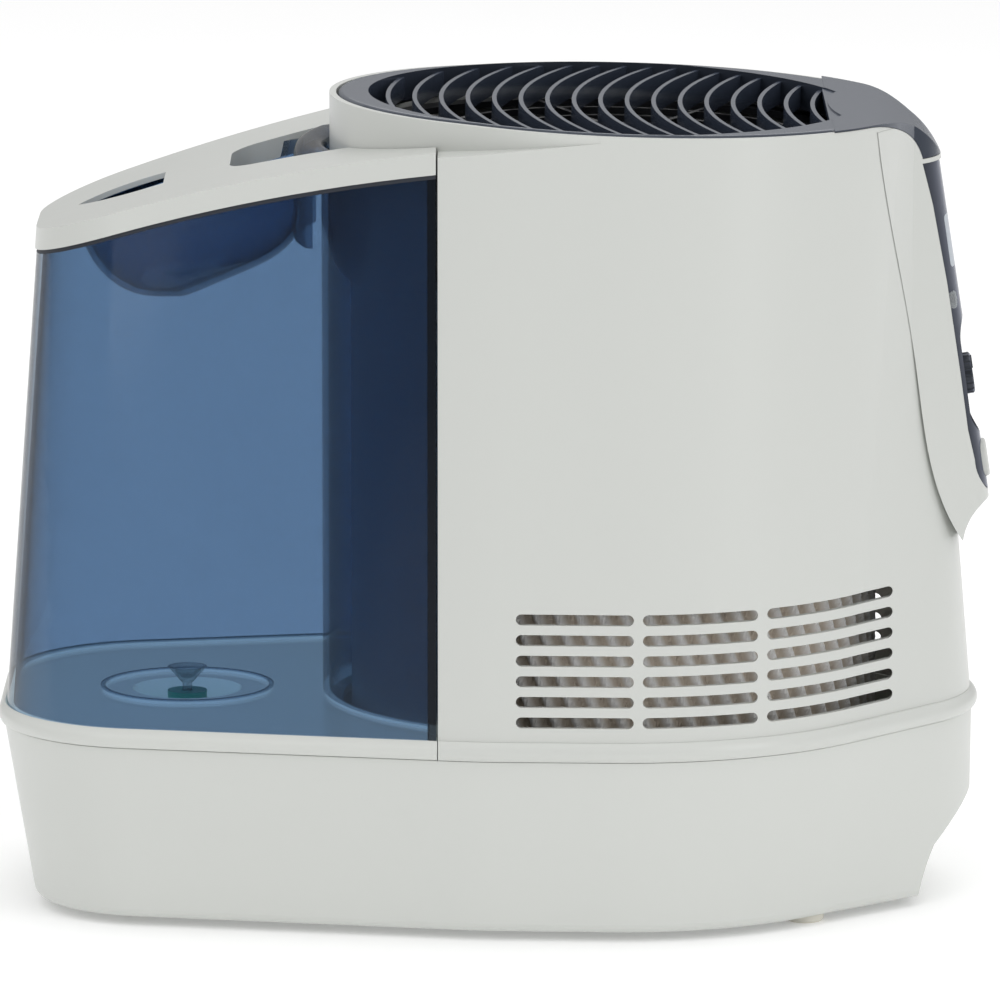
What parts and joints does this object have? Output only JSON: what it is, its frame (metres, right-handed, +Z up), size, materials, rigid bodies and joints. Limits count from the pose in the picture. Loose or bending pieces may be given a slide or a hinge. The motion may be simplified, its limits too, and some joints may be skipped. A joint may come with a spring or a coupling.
{
  "type": "evaporative humidifier",
  "caption": "Console cool-moisture humidifier: water tray, lift-off blue tank with lid handle, and round fan housing with top grille, front controls and wick.",
  "frame": {"origin": "on the floor under the middle of the object's box", "axes": "+Z up, +X towards the end with the controls, Y across; the object is the same on both sides of Y = 0 but for small parts"},
  "size_m": [0.4498, 0.2796, 0.3667],
  "materials": {
    "housing_white": "semi-gloss moulded",
    "tank_blue": "clear tinted, polished",
    "cap_green": "semi-gloss moulded",
    "grille_grey": "satin moulded, blue grey",
    "panel_grey": "semi-gloss moulded, blue grey",
    "label_pale": "printed film without text",
    "clear_plastic": "clear moulded",
    "black_plastic": "moulded",
    "rubber_dark": "smooth",
    "rubber_pale": "smooth",
    "steel": "bright",
    "lamination": "oiled stack",
    "zinc": "zinc plated",
    "bronze": "sintered",
    "copper": "enamelled wire, taped",
    "wick_paper": "ridged wicking paper"
  },
  "bodies": {
    "base": {"base_tray": "housing_white", "tray_feet": "rubber_pale", "tank_cradle": "housing_white"},
    "tank": {"tank_body": "tank_blue", "tank_lid": "housing_white", "lid_gasket": "rubber_dark", "tank_handle_well": "tank_blue"},
    "cap": {"tank_cap": "cap_green", "cap_gasket": "rubber_dark", "valve_spring": "steel"},
    "valve": {"valve_stem": "clear_plastic", "valve_seal": "rubber_dark"},
    "housing": {"fan_housing": "housing_white", "front_bezel": "housing_white", "cord_grommet": "black_plastic", "control_panel": "panel_grey", "indicator_lens": "clear_plastic", "indicator_lamp": "clear_plastic", "panel_label": "label_pale", "speed_switch": "black_plastic", "power_switch": "black_plastic", "switch_bracket": "zinc", "outlet_grille": "grille_grey", "fan_guard": "black_plastic", "grille_screws": "steel", "fan_shroud": "black_plastic", "shroud_screws": "steel", "motor_mount": "zinc", "mount_screws": "steel", "lower_bracket": "zinc", "upper_bracket": "zinc", "motor_bolts": "steel", "motor_bearings": "bronze", "stator_stack": "lamination", "stator_windings": "copper"},
    "fan": {"motor_rotor": "lamination", "fan_shaft": "steel", "fan_blade": "black_plastic", "fan_nut": "black_plastic"},
    "knob": {"speed_knob": "panel_grey", "switch_shaft": "steel"},
    "button": {"power_button": "housing_white"},
    "filter": {"wick_filter": "wick_paper", "wick_base_ring": "housing_white", "wick_top_ring": "housing_white"}
  },
  "joints": [
    {"name": "housing_lift", "type": "slide", "parent": "base", "child": "housing", "axis": [0, 0, 1], "range_m": [0, 0.36]},
    {"name": "tank_lift", "type": "slide", "parent": "base", "child": "tank", "axis": [0, 0, 1], "range_m": [0, 0.3]},
    {"name": "filter_lift", "type": "slide", "parent": "base", "child": "filter", "axis": [0, 0, 1], "range_m": [0, 0.16]},
    {"name": "fan_spin", "type": "hinge", "parent": "housing", "child": "fan", "pos_m": [0.0615, 0, 0.3], "axis": [0, 0, 1], "continuous": true},
    {"name": "knob_turn", "type": "hinge", "parent": "housing", "child": "knob", "pos_m": [0.21665, 0, 0.237], "axis": [0.9882, 0, 0.153], "range_deg": [-270, 0]},
    {"name": "button_press", "type": "slide", "parent": "housing", "child": "button", "axis": [-0.9882, 0, -0.153], "range_m": [0, 0.0015], "stiffness_N_per_m": 800, "springref_m": -0.001},
    {"name": "cap_twist", "type": "hinge", "parent": "tank", "child": "cap", "pos_m": [-0.14, 0, 0.077], "axis": [0, 0, 1], "range_deg": [0, 90]},
    {"name": "valve_travel", "type": "slide", "parent": "cap", "child": "valve", "axis": [0, 0, 1], "range_m": [-0.003, 0], "deforming": ["valve_spring"]}
  ],
  "couplings": [
    {"joint": "filter_lift", "follows": "housing_lift", "ratio": 0.4},
    {"joint": "valve_travel", "follows": "tank_lift", "ratio": -0.01}
  ]
}
